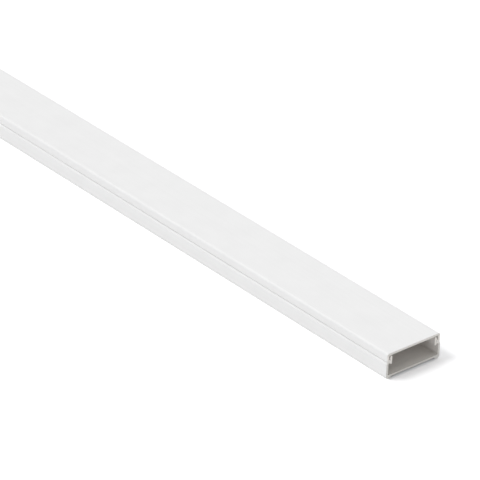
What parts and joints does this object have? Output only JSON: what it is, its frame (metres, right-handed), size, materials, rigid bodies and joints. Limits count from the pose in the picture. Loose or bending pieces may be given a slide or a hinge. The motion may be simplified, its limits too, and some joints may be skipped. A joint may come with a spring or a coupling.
{
  "type": "cord cover raceway",
  "caption": "Length of mini trunking: an open base channel with hooked uprights and a flat cover that snaps over it, hiding cables along a wall.",
  "frame": {"origin": "midway between the base's two feet, in the plane they stand on, half way along the stock", "axes": "+X along the stock towards the end the picture shows, +Z away from the wall through the cover, +Y across"},
  "size_m": [1, 0.038, 0.016],
  "materials": {
    "base_pvc": "satin",
    "cover_pvc": "satin"
  },
  "bodies": {
    "base": {"base_channel": "base_pvc"},
    "cover": {"cover": "cover_pvc"}
  },
  "joints": [
    {"name": "cover_slide", "type": "slide", "parent": "base", "child": "cover", "axis": [1, 0, 0], "range_m": [-1, 1]}
  ]
}
